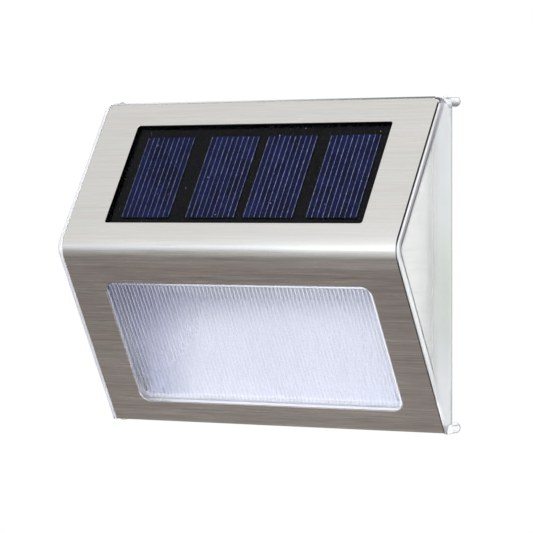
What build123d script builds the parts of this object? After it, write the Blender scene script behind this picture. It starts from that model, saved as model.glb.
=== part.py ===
from build123d import *
import math
import os

# Wall-hung solar step light: a wedge-shaped clear housing under a folded steel cover,
# a solar panel on the upper slope, a fluted lens on the lower slope.
# Frame: X across, +Y into the wall, +Z up. Origin at the centre of the housing's rear plane.
# All sizes in millimetres.

# ---------------------------------------------------------------- driving dimensions
WIDTH = 120.0            # over the clear end walls
HEIGHT = 100.0
HALF_W = WIDTH / 2
HALF_H = HEIGHT / 2
TOP_DEPTH = 5.46         # rear plane to the top front edge
FOLD_DEPTH = 33.75       # rear plane to the sharp fold line
FOLD_Z = 5.1             # height of the fold line above mid-height
BOTTOM_DEPTH = 2.64      # rear plane to the bottom front edge
FOLD_R = 5.0             # bend radius at the rim's surface
STEEL_BEND = 7.5         # bend radius of the steel's outer face
RIM_W = 1.3              # clear rim beside the steel
RIM_ROUND = 0.6          # its outer edge
RIM_IN_ROUND = 0.55      # its inner edge, beside the steel
LIP = 0.45               # clear lip above the steel's top edge
LIP_GAP = 0.15
CORNER_R = 3.2           # top corners of the clear housing
STEEL_CORNER_R = 2.2     # top corners of the steel sheet
ARRIS = 0.15             # softened edges of the steel

STEEL_T = 0.5
STEEL_DROP = 0.2         # steel surface below the rim
GLUE_T = 0.15
CORE_DROP = STEEL_DROP + STEEL_T + GLUE_T   # housing surface under the steel
SHELL_IN = 2.4           # inner face of the housing's shell, below the rim's surface

PANEL_WIN_W, PANEL_WIN_S0, PANEL_WIN_S1 = 90.6, 8.5, 44.0     # window, measured down from the top edge
PANEL_WIN_R = 0.8
LENS_WIN_W, LENS_WIN_S0, LENS_WIN_S1 = 94.0, 12.8, 56.1       # window, measured down from the fold
LENS_WIN_X = 0.3
LENS_WIN_R = 3.6
RIBS = 69
RIB_H = 0.22
LENS_BORDER = 0.5        # smooth border at the sides and top
LENS_FOOT = 1.1          # smooth border at the bottom

PEG_R = 1.7
PEG_L = 6.8
PEG_TIP = 1.0            # rounding of the free end
PEG_X, PEG_Z = 58.0, 48.8

CELL_W, CELL_S0, CELL_S1 = 17.2, 11.9, 41.6
CELL_X = (-32.1, -8.8, 11.6, 33.45)

PLATE_REAR = -2.0        # back cover's recessed rear face
PLATE_LIP = -0.3         # rear edge of the back cover's raised rim
PLATE_RIM_W = 1.2
PLATE_T = 1.5
GASKET_T = 0.7
PLATE_FRONT = PLATE_REAR - PLATE_T
LEDGE_Y = PLATE_FRONT - GASKET_T
POCKET = (59.4, -42.6, 48.8, 7.6)        # half width, bottom, top, corner radius
CAVITY = (58.4, -41.4, 47.6, 6.6)
BOSS_X, BOSS_TOP_Z, BOSS_LOW_Z, BOSS_R = 52.6, 40.0, -36.0, 2.8
SCREW_R, SCREW_HEAD_R, SCREW_HEAD_H = 1.0, 2.1, 1.4

CHEEK_X0, CHEEK_X1 = 57.1, 58.1          # inner chassis cheeks and back cover flanges
CHEEK_REAR = -9.2

KEY_X, KEY_Z, KEY_R, KEY_SLOT_R, KEY_RISE = 42.0, 18.0, 4.0, 2.0, 7.5

CELL_R, CELL_LEN = 7.25, 50.5            # AA cell
BAT_Y, BAT_Z = -12.6, 13.0

SWITCH_Z = -4.0
SWITCH_TRAVEL = 2.0
BOARD_FRONT, BOARD_REAR = -8.4, -7.2
WIRE_R = 0.6

os.makedirs("parts", exist_ok=True)

# ---------------------------------------------------------------- profile helpers
T = (-TOP_DEPTH, HALF_H)
F = (-FOLD_DEPTH, FOLD_Z)
B = (-BOTTOM_DEPTH, -HALF_H)


def unit(a, b):
    d = math.hypot(b[0] - a[0], b[1] - a[1])
    return ((b[0] - a[0]) / d, (b[1] - a[1]) / d)


U_UP = unit(F, T)                      # along the upper slope, fold to top
U_LO = unit(F, B)                      # along the lower slope, fold to bottom
N_UP = (-U_UP[1], U_UP[0])             # outward normals in (y, z)
N_LO = (U_LO[1], -U_LO[0])
L_UP = math.dist(F, T)
L_LO = math.dist(F, B)


def cross_at(p, u, q, v):
    """Where the line p + a u meets the line q + b v."""
    den = u[0] * v[1] - u[1] * v[0]
    a = ((q[0] - p[0]) * v[1] - (q[1] - p[1]) * v[0]) / den
    return (p[0] + a * u[0], p[1] + a * u[1])


def inset(p, n, d):
    return (p[0] - n[0] * d, p[1] - n[1] * d)


def up_at_z(d, z):
    p = inset(F, N_UP, d)
    return cross_at(p, U_UP, (0, z), (1, 0))


def lo_at_z(d, z):
    p = inset(F, N_LO, d)
    return cross_at(p, U_LO, (0, z), (1, 0))


def up_at_y(d, y):
    p = inset(F, N_UP, d)
    return cross_at(p, U_UP, (y, 0), (0, 1))


def lo_at_y(d, y):
    p = inset(F, N_LO, d)
    return cross_at(p, U_LO, (y, 0), (0, 1))


def fold_at(d):
    return cross_at(inset(F, N_UP, d), U_UP, inset(F, N_LO, d), U_LO)


def section(points, rounds=()):
    """A closed section in (y, z), with given corners rounded."""
    sk = make_face(Polyline(*points, close=True))
    for where, r in rounds:
        v = min(sk.vertices(), key=lambda q: math.hypot(q.X - where[0], q.Y - where[1]))
        sk = fillet(v, r)
    return sk


def prism(sk, x0, x1):
    """The section pulled along X from x0 to x1."""
    return extrude(Plane.YZ.offset(x0) * sk, amount=x1 - x0)


def wedge(d, rear, x0, x1, top=HALF_H, bottom=-HALF_H, r=None):
    """A wedge whose slopes lie d below the rim's surface."""
    t, b, f = up_at_z(d, top), lo_at_z(d, bottom), fold_at(d)
    sk = section([(rear, top), t, f, b, (rear, bottom)], [(f, r)] if r else [])
    return prism(sk, x0, x1)


UPPER = Plane(origin=(0, F[0], F[1]), x_dir=(1, 0, 0), z_dir=(0, N_UP[0], N_UP[1]))
LOWER = Plane(origin=(0, F[0], F[1]), x_dir=(1, 0, 0), z_dir=(0, N_LO[0], N_LO[1]))


def slab(plane, xc, w, v0, v1, d0, d1, r=0):
    """A plate lying on a slope: centre xc, width w, from v0 to v1 along the slope, d0 to d1 deep."""
    h = v1 - v0
    sk = RectangleRounded(w, h, r) if r else Rectangle(w, h)
    return extrude(plane.offset(-d1) * Pos(xc, (v0 + v1) / 2) * sk, amount=d1 - d0)


def box(x0, x1, y0, y1, z0, z1):
    return Pos((x0 + x1) / 2, (y0 + y1) / 2, (z0 + z1) / 2) * Box(x1 - x0, y1 - y0, z1 - z0)


def rod_y(x, z, r, y0, y1):
    return Pos(x, (y0 + y1) / 2, z) * Rot(90, 0, 0) * Cylinder(r, y1 - y0)


def rod_x(y, z, r, x0, x1):
    return Pos((x0 + x1) / 2, y, z) * Rot(0, 90, 0) * Cylinder(r, x1 - x0)


def rod_z(x, y, r, z0, z1):
    return Pos(x, y, (z0 + z1) / 2) * Cylinder(r, z1 - z0)


def rear_slab(half_w, z0, z1, r, y0, y1):
    """A rounded rectangle in the X-Z plane, from y0 to y1."""
    pl = Plane(origin=(0, y1, (z0 + z1) / 2), x_dir=(1, 0, 0), z_dir=(0, -1, 0))
    return extrude(pl * RectangleRounded(2 * half_w, z1 - z0, r), amount=y1 - y0)


def up_v(s):
    """Slope coordinate of a point s below the top edge."""
    return L_UP - s


NODES = {}


def keep(name, shape):
    NODES[name] = shape


# ---------------------------------------------------------------- clear housing
f0 = fold_at(0)
full = section([(0, HALF_H), T, f0, B, (0, -HALF_H)], [(f0, FOLD_R)])
hem_z = -HALF_H + STEEL_T + 0.1
lip_p = (T[0] - U_UP[0] * LIP, T[1] - U_UP[1] * LIP)
lip_q = inset(lip_p, N_UP, CORE_DROP)
fc = fold_at(CORE_DROP)
core = section(
    [(0, HALF_H), T, lip_p, lip_q, fc, lo_at_z(CORE_DROP, hem_z), (0, hem_z)],
    [(fc, STEEL_BEND - STEEL_T - GLUE_T), (lo_at_z(CORE_DROP, hem_z), 0.9)],
)
body = prism(core, -HALF_W + RIM_W, HALF_W - RIM_W)
for sx in (-1, 1):
    end = prism(full, sx * HALF_W - (RIM_W if sx > 0 else 0), sx * HALF_W + (0 if sx > 0 else RIM_W))
    # round the rim's outer and inner front edges into a bead, past the fold and down to the bottom
    for at, r in ((sx * HALF_W, RIM_ROUND), (sx * (HALF_W - RIM_W), RIM_IN_ROUND)):
        front = []
        for e in end.edges():
            q = e.position_at(0.5)
            d_up = (q.Y - F[0]) * N_UP[0] + (q.Z - F[1]) * N_UP[1]
            d_lo = (q.Y - F[0]) * N_LO[0] + (q.Z - F[1]) * N_LO[1]
            if abs(q.X - at) < 1e-3 and max(d_up, d_lo) > -1.6 and abs(q.Z) < HALF_H - 1:
                front.append(e)
        end = fillet(front, r)
    body = body + end
# round the two top corners
body = body & rear_slab(HALF_W, -HALF_H - 10, HALF_H, CORNER_R, -45, 1.0)

# hollow: wedge behind the shell, the back cover's pocket and its ledge
hollow = wedge(SHELL_IN, LEDGE_Y + 0.01, -CAVITY[0], CAVITY[0], top=HALF_H - 1, bottom=-HALF_H + 1, r=2.6)
hollow = hollow & rear_slab(*CAVITY, -40, LEDGE_Y + 0.01)
body = body - hollow

# panel tray and lens seat stand on the inside of the shell
PANEL_W, PANEL_V0, PANEL_V1 = PANEL_WIN_W + 3.5, up_v(PANEL_WIN_S1 + 1.75), up_v(PANEL_WIN_S0 - 1.75)
TRAY_FLOOR, TRAY_BACK = 3.25, 4.4
tray = slab(UPPER, 0, PANEL_W + 3.4, PANEL_V0 - 1.7, PANEL_V1 + 1.7, SHELL_IN - 0.2, TRAY_BACK, 1.5)
FLANGE_W = LENS_WIN_W + 4.0
FLANGE_V0, FLANGE_V1 = -LENS_WIN_S1 - 2.0, -LENS_WIN_S0 + 2.0
SEAT, SEAT_BACK = 2.25, 3.4
seat = slab(LOWER, LENS_WIN_X, FLANGE_W + 3.0, FLANGE_V0 - 1.5, FLANGE_V1 + 1.5, SHELL_IN - 0.2, SEAT_BACK, 3.0)
bosses = []
for sx in (-1, 1):
    for z in (BOSS_TOP_Z, BOSS_LOW_Z):
        bosses.append(rod_y(sx * BOSS_X, z, BOSS_R, -20, PLATE_FRONT))
keep_in = wedge(1.6, 0, -HALF_W + 1, HALF_W - 1, r=3.4)
body = body + tray + seat - rear_slab(*POCKET, LEDGE_Y, 1.0)
for b in bosses:
    body = body + (b & keep_in)
body = body - slab(UPPER, 0, PANEL_W + 0.5, PANEL_V0 - 0.25, PANEL_V1 + 0.25, -0.5, TRAY_FLOOR, 1.0)
body = body - slab(LOWER, LENS_WIN_X, FLANGE_W + 0.5, FLANGE_V0 - 0.25, FLANGE_V1 + 0.25, -0.5, SEAT, 4.0)
body = body - slab(
    LOWER, LENS_WIN_X, LENS_WIN_W - 1.5, -LENS_WIN_S1 + 0.9, -LENS_WIN_S0 - 0.9, SEAT - 0.5, SEAT_BACK + 4, 3.0
)
# lead holes through the tray floor, and screw pilots
LEAD_X = (40.0, 44.0)
LEAD_V = 13.0
for x in LEAD_X:
    hole = extrude(UPPER.offset(-TRAY_BACK - 2) * Pos(x, LEAD_V) * Circle(1.1), amount=4)
    body = body - hole
for sx in (-1, 1):
    body = body - rod_y(sx * BOSS_X, BOSS_TOP_Z, SCREW_R, -9.0, PLATE_FRONT + 1)
    body = body - rod_y(sx * BOSS_X, BOSS_LOW_Z, SCREW_R, -8.2, PLATE_FRONT + 1)
# corner pegs behind the rear plane
for sx in (-1, 1):
    for sz in (-1, 1):
        peg = rod_y(sx * PEG_X, sz * PEG_Z, PEG_R, 0, PEG_L)
        tip = [e for e in peg.edges() if abs(e.center().Y - PEG_L) < 1e-3 and e.geom_type == GeomType.CIRCLE]
        neck = rod_y(sx * PEG_X, sz * PEG_Z, PEG_R - 0.9, -0.2, 0.1)
        body = body + (fillet(tip, PEG_TIP) + neck)
keep("clear_housing", body)

# ---------------------------------------------------------------- steel cover and its adhesive
so, si = STEEL_DROP, STEEL_DROP + STEEL_T
TOP_IN = LIP + LIP_GAP
a_o = inset((T[0] - U_UP[0] * TOP_IN, T[1] - U_UP[1] * TOP_IN), N_UP, so)
a_i = inset((T[0] - U_UP[0] * TOP_IN, T[1] - U_UP[1] * TOP_IN), N_UP, si)
fo, fi = fold_at(so), fold_at(si)
bo, bi = lo_at_z(so, -HALF_H), lo_at_z(si, -HALF_H + STEEL_T)
HEM_END = -0.6
steel_sk = section(
    [a_o, fo, bo, (HEM_END, -HALF_H), (HEM_END, -HALF_H + STEEL_T), bi, fi, a_i],
    [(fo, STEEL_BEND), (fi, STEEL_BEND - STEEL_T), (bo, 1.2), (bi, 0.7)],
)
STEEL_HALF = HALF_W - RIM_W - 0.2
steel = prism(steel_sk, -STEEL_HALF, STEEL_HALF)
mid_a = ((a_o[0] + a_i[0]) / 2, (a_o[1] + a_i[1]) / 2)
steel = fillet([
    e for e in steel.edges()
    if abs(abs(e.center().X) - STEEL_HALF) < 1e-3 and math.hypot(e.center().Y - mid_a[0], e.center().Z - mid_a[1]) < 1e-3
], STEEL_CORNER_R)
steel = steel - slab(UPPER, 0, PANEL_WIN_W, up_v(PANEL_WIN_S1), up_v(PANEL_WIN_S0), -2, 3, PANEL_WIN_R)
steel = steel - slab(LOWER, LENS_WIN_X, LENS_WIN_W, -LENS_WIN_S1, -LENS_WIN_S0, -2, 3, LENS_WIN_R)


def depth_on(n, q):
    return -((q.Y - F[0]) * n[0] + (q.Z - F[1]) * n[1])


def on_outer_face(e, n):
    return all(abs(depth_on(n, e.position_at(t)) - so) < 2e-3 for t in (0, 0.5, 1))


# soften the outer arrises of both windows, then those of the sheet's ends
for pick in (
    lambda e: on_outer_face(e, N_UP) and max(abs(e.position_at(t).X) for t in (0, 0.5, 1)) < PANEL_WIN_W / 2 + 0.1
    and min(e.position_at(t).Z for t in (0, 1)) > F[1] + 3 and max(e.position_at(t).Z for t in (0, 1)) < T[1] - 3,
    lambda e: on_outer_face(e, N_LO) and max(abs(e.position_at(t).X) for t in (0, 0.5, 1)) < LENS_WIN_W / 2 + 1
    and max(e.position_at(t).Z for t in (0, 1)) < F[1] - 3 and min(e.position_at(t).Z for t in (0, 1)) > B[1] + 3,
):
    found = [e for e in steel.edges() if pick(e)]
    try:
        steel = fillet(found, ARRIS)
        print("softened", len(found), "edges")
    except Exception as err:
        print("arris left sharp:", err)
keep("steel_cover", steel)

glue_up = slab(UPPER, 0, 2 * STEEL_HALF - 2, 5.4, up_v(LIP + 1.2), si, CORE_DROP, 1.6)
glue_up = glue_up - slab(UPPER, 0, PANEL_W + 1.2, PANEL_V0 - 0.6, PANEL_V1 + 0.6, 0, 3, 1.0)
glue_lo = slab(LOWER, 0, 2 * STEEL_HALF - 2, -L_LO + 2.4, -5.4, si, CORE_DROP)
glue_lo = glue_lo - slab(LOWER, LENS_WIN_X, FLANGE_W + 1.2, FLANGE_V0 - 0.6, FLANGE_V1 + 0.6, 0, 3, 4.0)
keep("cover_adhesive", Compound(children=[*glue_up.solids(), *glue_lo.solids()]))

# ---------------------------------------------------------------- fluted lens and its seal
flange = slab(LOWER, LENS_WIN_X, FLANGE_W, FLANGE_V0, FLANGE_V1, CORE_DROP, SEAT - 0.3, 3.8)
PAD_W, PAD_V0, PAD_V1 = LENS_WIN_W - 0.4, -LENS_WIN_S1 + 0.2, -LENS_WIN_S0 - 0.2
pad = slab(LOWER, LENS_WIN_X, PAD_W, PAD_V0, PAD_V1, 0.1, CORE_DROP + 0.3, LENS_WIN_R - 0.2)
outer_top = [
    e for e in pad.edges()
    if abs((e.center().Y - F[0]) * N_LO[0] + (e.center().Z - F[1]) * N_LO[1] + 0.1) < 0.02
]
pad = fillet(outer_top, 0.2)
FIELD_W, FIELD_V0, FIELD_V1 = PAD_W - 2 * LENS_BORDER, PAD_V0 + LENS_FOOT, PAD_V1 - LENS_BORDER
VALLEY = 0.66
field = slab(LOWER, LENS_WIN_X, FIELD_W, FIELD_V0, FIELD_V1, -1, VALLEY, LENS_WIN_R - 0.2 - LENS_BORDER)
# fluted field: one round-topped rib beside another, running down the slope
pitch = FIELD_W / RIBS
across = Plane(origin=(LENS_WIN_X, F[0], F[1]), x_dir=(1, 0, 0), z_dir=(0, -U_LO[0], -U_LO[1]))
edges = []
x = -FIELD_W / 2
for i in range(RIBS):
    edges.append(ThreePointArc((x, VALLEY), (x + pitch / 2, VALLEY - RIB_H), (x + pitch, VALLEY)))
    x += pitch
edges.append(Line((FIELD_W / 2, VALLEY), (FIELD_W / 2, VALLEY + 0.2)))
edges.append(Line((FIELD_W / 2, VALLEY + 0.2), (-FIELD_W / 2, VALLEY + 0.2)))
edges.append(Line((-FIELD_W / 2, VALLEY + 0.2), (-FIELD_W / 2, VALLEY)))
rib_face = make_face(Wire(edges))
ribs = extrude(across.offset(FIELD_V0) * rib_face, amount=FIELD_V1 - FIELD_V0)
ribs = ribs & slab(LOWER, LENS_WIN_X, FIELD_W, FIELD_V0, FIELD_V1, -1, 2, LENS_WIN_R - 0.2 - LENS_BORDER)
lens = (flange + pad - field) + ribs
keep("ribbed_lens", lens)

seal = slab(LOWER, LENS_WIN_X, FLANGE_W, FLANGE_V0, FLANGE_V1, SEAT - 0.3, SEAT, 3.8)
seal = seal - slab(LOWER, LENS_WIN_X, LENS_WIN_W - 1.2, -LENS_WIN_S1 + 2.4, -LENS_WIN_S0 - 0.6, 1, 3, 3.0)
keep("lens_seal", seal)

# ---------------------------------------------------------------- solar panel
TAPE_T, BOARD_T = 0.25, 1.2
P_BACK = TRAY_FLOOR - TAPE_T
P_FRONT = P_BACK - BOARD_T
P_TOP = 1.0
CELL_T = 0.3
tape = slab(UPPER, 0, PANEL_W - 2, PANEL_V0 + 1, PANEL_V1 - 1, P_BACK, TRAY_FLOOR, 1.0)
board = slab(UPPER, 0, PANEL_W, PANEL_V0, PANEL_V1, P_FRONT, P_BACK, 0.8)
resin = slab(UPPER, 0, PANEL_W, PANEL_V0, PANEL_V1, P_TOP, P_FRONT, 0.8)
cells = []
for cx in CELL_X:
    c = slab(UPPER, cx, CELL_W, up_v(CELL_S1), up_v(CELL_S0), P_FRONT - CELL_T, P_FRONT)
    cells.append(c)
    resin = resin - c
for x in LEAD_X:
    tape = tape - extrude(UPPER.offset(-TRAY_FLOOR - 1) * Pos(x, LEAD_V) * Circle(1.1), amount=3)
keep("panel_tape", tape)
keep("panel_board", board)
keep("panel_resin", resin)
keep("solar_cells", Compound(children=[s for c in cells for s in c.solids()]))

# ---------------------------------------------------------------- inner chassis (reflector)
SHELF_Z0, SHELF_Z1 = 2.6, 3.8
chassis = box(-CHEEK_X0, CHEEK_X0, -28.5, -13.4, SHELF_Z0, SHELF_Z1)
ra, rb, rc = (-14.0, SHELF_Z1 - 0.3), (-5.35, -36.0), (-4.72, -40.9)


def strip(a, b, half):
    u = unit(a, b)
    n = (-u[1] * half, u[0] * half)
    return section([
        (a[0] + n[0], a[1] + n[1]), (a[0] - n[0], a[1] - n[1]), (b[0] - n[0], b[1] - n[1]), (b[0] + n[0], b[1] + n[1]),
    ])


chassis = chassis + prism(strip(ra, rb, 0.6), -48.2, 48.2)
chassis = chassis + prism(strip((rb[0], rb[1] + 0.5), rc, 0.3), -44.6, 44.6)
side = section([lo_at_z(SEAT_BACK + 0.3, SHELF_Z0 + 0.2), (ra[0], SHELF_Z0 + 0.2), rb, lo_at_z(SEAT_BACK + 0.3, -35.6)])
for x0 in (-48.2, 47.0):
    chassis = chassis + prism(side, x0, x0 + 1.2)
cheek = section([
    (CHEEK_REAR, up_at_y(2.8, CHEEK_REAR)[1]), fold_at(2.8), (CHEEK_REAR, lo_at_y(2.8, CHEEK_REAR)[1]),
], [(fold_at(2.8), 2.4)])
chassis = chassis + prism(cheek, -CHEEK_X1, -CHEEK_X0) + prism(cheek, CHEEK_X0, CHEEK_X1)
LEDS_X = (-26.0, 0.0, 26.0)
LED_Y = -21.0
LED_SCREW_X = 33.0
for sx in (-1, 1):
    chassis = chassis + rod_z(sx * LED_SCREW_X, LED_Y, 2.3, SHELF_Z1 - 0.2, 6.8)
    chassis = chassis - rod_z(sx * LED_SCREW_X, LED_Y, 0.8, 0, 6.3)
chassis = chassis - box(-4.0, 4.5, -17, -11, 1.0, SHELF_Z0)
keep("reflector_chassis", chassis)

# ---------------------------------------------------------------- LED board
led_board = box(-40, 40, -25, -17, 1.4, SHELF_Z0)
for sx in (-1, 1):
    led_board = led_board - rod_z(sx * LED_SCREW_X, LED_Y, 1.1, 0, 4)
keep("led_board", led_board)
leds = []
for x in LEDS_X:
    led = box(x - 2.5, x + 2.5, LED_Y - 2.5, LED_Y + 2.5, 0.2, 1.4)
    led = fillet(led.edges().filter_by(Axis.Z), 0.3)
    dome = Pos(x, LED_Y, 0.2) * Cylinder(1.9, 0.5)
    leds.append((led + dome).solids()[0])
keep("leds", Compound(children=leds))

# ---------------------------------------------------------------- back cover
plate = rear_slab(POCKET[0] - 0.3, POCKET[1] + 0.3, POCKET[2] - 0.3, POCKET[3] - 0.3, PLATE_FRONT, PLATE_LIP)
rim_edges = [e for e in plate.edges() if abs(e.center().Y - PLATE_LIP) < 1e-3]
cover = fillet(rim_edges, 0.35)
rim_in = 0.3 + PLATE_RIM_W
cover = cover - rear_slab(POCKET[0] - rim_in, POCKET[1] + rim_in, POCKET[2] - rim_in, POCKET[3] - rim_in, PLATE_REAR, 1.0)
flange_sec = wedge(2.8, 0, -HALF_W, HALF_W, r=2.4)
for x0 in (-CHEEK_X1, CHEEK_X0):
    side = box(x0, x0 + 1.0, CHEEK_REAR, PLATE_FRONT + 0.2, -HALF_H, HALF_H) & flange_sec
    cover = cover + (side & rear_slab(CAVITY[0] - 0.25, CAVITY[1] + 0.25, CAVITY[2] - 0.25, CAVITY[3] - 0.25, -12, 0))
# sealed keyhole pockets on the inside
for sx in (-1, 1):
    kx = sx * KEY_X
    cover = cover + box(kx - 6.2, kx + 6.2, -8.2, PLATE_FRONT + 0.2, KEY_Z - 6.0, KEY_Z + KEY_RISE + 6.0)
    cover = cover - box(kx - 5.2, kx + 5.2, -7.2, PLATE_FRONT, KEY_Z - 5.0, KEY_Z + KEY_RISE + 5.0)
    cover = cover - rod_y(kx, KEY_Z, KEY_R, PLATE_FRONT - 0.5, 0)
    cover = cover - box(kx - KEY_SLOT_R, kx + KEY_SLOT_R, PLATE_FRONT - 0.5, 0, KEY_Z, KEY_Z + KEY_RISE)
    cover = cover - rod_y(kx, KEY_Z + KEY_RISE, KEY_SLOT_R, PLATE_FRONT - 0.5, 0)
# circuit board posts
for sx in (-1, 1):
    cover = cover + rod_y(sx * 12, SWITCH_Z, 2.2, BOARD_REAR, PLATE_FRONT + 0.2)
    cover = cover - rod_y(sx * 12, SWITCH_Z, 0.8, BOARD_REAR - 1, -3.2)
# switch slot and screw holes
cover = cover - box(-2.6, 2.6, PLATE_FRONT - 1, 0, SWITCH_Z - 1.2, SWITCH_Z + 1.2)
for sx in (-1, 1):
    for z in (BOSS_TOP_Z, BOSS_LOW_Z):
        cover = cover - rod_y(sx * BOSS_X, z, 1.3, -6, 0)
keep("back_cover", cover)

gasket = rear_slab(POCKET[0] - 0.2, POCKET[1] + 0.2, POCKET[2] - 0.2, POCKET[3] - 0.2, LEDGE_Y, PLATE_FRONT)
gasket = gasket - rear_slab(CAVITY[0] + 0.1, CAVITY[1] - 0.1, CAVITY[2] + 0.1, CAVITY[3] + 0.1, LEDGE_Y - 1, PLATE_FRONT + 1)
keep("back_gasket", gasket)


def pan_screw(head_r, head_h, shank_r, length):
    """A pan-head screw along local Z: head above z=0, shank below, cross recess on top."""
    head = Pos(0, 0, head_h / 2) * Cylinder(head_r, head_h)
    head = fillet([e for e in head.edges() if abs(e.center().Z - head_h) < 1e-3], head_h * 0.55)
    slot = Pos(0, 0, head_h) * (Box(head_r * 1.05, head_r * 0.24, head_h) + Box(head_r * 0.24, head_r * 1.05, head_h))
    shank = Pos(0, 0, -length / 2) * Cylinder(shank_r, length)
    tip = [e for e in shank.edges() if abs(e.center().Z + length) < 1e-3]
    return head - slot + chamfer(tip, shank_r * 0.5)


def solid_of(s):
    return s.solids()[0]


screws = []
for sx in (-1, 1):
    for z, ln in ((BOSS_TOP_Z, 5.6), (BOSS_LOW_Z, 5.6)):
        s = Pos(sx * BOSS_X, PLATE_REAR, z) * Rot(-90, 0, 0) * pan_screw(SCREW_HEAD_R, SCREW_HEAD_H, SCREW_R - 0.02, ln)
        screws.append(solid_of(s))
keep("cover_screws", Compound(children=screws))

# ---------------------------------------------------------------- circuit board and its parts
ctrl = box(-15, 15, BOARD_FRONT, BOARD_REAR, -11.0, 3.4)
for sx in (-1, 1):
    ctrl = ctrl - rod_y(sx * 12, SWITCH_Z, 1.1, -10, -6)
for px in (-2.5, 0, 2.5):
    ctrl = ctrl - rod_y(px, SWITCH_Z, 0.6, -10, -6)
keep("control_board", ctrl)

board_screws = []
for sx in (-1, 1):
    s = Pos(sx * 12, BOARD_FRONT, SWITCH_Z) * Rot(90, 0, 0) * pan_screw(1.8, 1.1, 0.78, 4.5)
    board_screws.append(solid_of(s))
for sx in (-1, 1):
    s = Pos(sx * LED_SCREW_X, LED_Y, 1.4) * Rot(180, 0, 0) * pan_screw(1.8, 1.1, 0.78, 4.5)
    board_screws.append(solid_of(s))
keep("board_screws", Compound(children=board_screws))

CHIP_X, CHIP_Z = -7.0, 0.6
chip = box(CHIP_X - 2.45, CHIP_X + 2.45, -10.05, BOARD_FRONT - 0.15, CHIP_Z - 1.0, CHIP_Z + 1.0)
for i in range(4):
    lx = CHIP_X - 1.905 + 1.27 * i
    for sz in (-1, 1):
        z0, z1 = sorted((CHIP_Z + sz * 0.9, CHIP_Z + sz * 1.5))
        chip = chip + box(lx - 0.2, lx + 0.2, -9.4, -9.2, z0, z1)
        z0, z1 = sorted((CHIP_Z + sz * 1.3, CHIP_Z + sz * 1.5))
        chip = chip + box(lx - 0.2, lx + 0.2, -9.4, BOARD_FRONT, z0, z1)
keep("driver_chip", chip)

IND_Z, IND_Y = 0.8, BOARD_FRONT - 1.35
inductor = rod_x(IND_Y, IND_Z, 1.3, 4.8, 10.2)
inductor = fillet(inductor.edges(), 0.5)
for x0, x1 in ((4.0, 5.2), (9.8, 11.0)):
    inductor = inductor + box(x0, x1, IND_Y - 0.2, IND_Y + 0.2, IND_Z - 0.2, IND_Z + 0.2)
for x0 in (4.0, 10.6):
    inductor = inductor + box(x0, x0 + 0.4, IND_Y - 0.2, BOARD_FRONT, IND_Z - 0.2, IND_Z + 0.2)
keep("inductor", inductor)

cap = box(-1.6, 1.6, BOARD_FRONT - 1.2, BOARD_FRONT, -9.0, -7.4)
keep("capacitor", fillet(cap.edges().filter_by(Axis.Y), 0.2))

# ---------------------------------------------------------------- slide switch
shell = box(-4.3, 4.3, -7.0, PLATE_FRONT, SWITCH_Z - 1.8, SWITCH_Z + 1.8)
shell = shell - box(-4.0, 4.0, -7.5, PLATE_FRONT - 0.3, SWITCH_Z - 1.5, SWITCH_Z + 1.5)
shell = shell - box(-2.3, 2.3, -5, 0, SWITCH_Z - 0.95, SWITCH_Z + 0.95)
keep("switch_shell", shell)
base = box(-3.95, 3.95, BOARD_REAR, -5.9, SWITCH_Z - 1.45, SWITCH_Z + 1.45)
for px in (-2.5, 0, 2.5):
    base = base - box(px - 0.4, px + 0.4, -7.5, -6.4, SWITCH_Z - 0.2, SWITCH_Z + 0.2)
keep("switch_base", base)
kx = -SWITCH_TRAVEL / 2
foot = box(kx - 2.2, kx + 2.2, -5.6, -4.15, SWITCH_Z - 1.2, SWITCH_Z + 1.2)
stem = box(kx - 0.95, kx + 0.95, -4.3, -0.4, SWITCH_Z - 0.65, SWITCH_Z + 0.65)
stem = fillet([e for e in stem.edges() if abs(e.center().Y + 0.4) < 1e-3], 0.25)
for g in (-0.45, 0, 0.45):
    stem = stem - box(kx + g - 0.09, kx + g + 0.09, -0.6, 0, SWITCH_Z - 1, SWITCH_Z + 1)
keep("switch_knob", foot + stem)
pins = []
for px in (-2.5, 0, 2.5):
    pins.append(solid_of(box(px - 0.4, px + 0.4, -9.3, -6.4, SWITCH_Z - 0.2, SWITCH_Z + 0.2)))
keep("switch_pins", Compound(children=pins))

# ---------------------------------------------------------------- battery and its holder
HOLD_BASE0, HOLD_BASE1 = -5.2, -4.0
X_NEG, X_POS = -24.3, 25.0
holder = box(-28.6, 27.6, HOLD_BASE0, HOLD_BASE1, 4.4, 21.6)
holder = holder + box(-28.6, 27.6, -14.0, HOLD_BASE0, 4.4, 5.4)
holder = holder + box(-28.6, 27.6, -14.0, HOLD_BASE0, 20.6, 21.6)
holder = holder + box(-28.6, -27.6, -18.0, HOLD_BASE0, 4.4, 21.6)
holder = holder + box(26.6, 27.6, -18.0, HOLD_BASE0, 4.4, 21.6)
holder = holder - box(26, 28, BAT_Y - 1.4, BAT_Y + 1.4, 6.0, 6.8)
holder = holder - box(-29, -27, BAT_Y - 1.4, BAT_Y + 1.4, 6.0, 6.8)
keep("battery_holder", holder)
keep("holder_tape", box(-26, 25, HOLD_BASE1, PLATE_FRONT, 6.0, 20.0))

can = rod_x(BAT_Y, BAT_Z, CELL_R - 0.2, X_NEG, X_POS)
can = fillet(can.edges(), 0.8)
nub = rod_x(BAT_Y, BAT_Z, 2.75, X_POS - 0.2, X_NEG + CELL_LEN)
nub = fillet([e for e in nub.edges() if e.center().X > X_POS + 0.5], 0.3)
keep("battery_cell", can + nub)
sleeve = rod_x(BAT_Y, BAT_Z, CELL_R, X_NEG + 0.8, X_POS - 0.8) - rod_x(BAT_Y, BAT_Z, CELL_R - 0.2, X_NEG - 1, X_POS + 1)
keep("battery_sleeve", sleeve)

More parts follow.
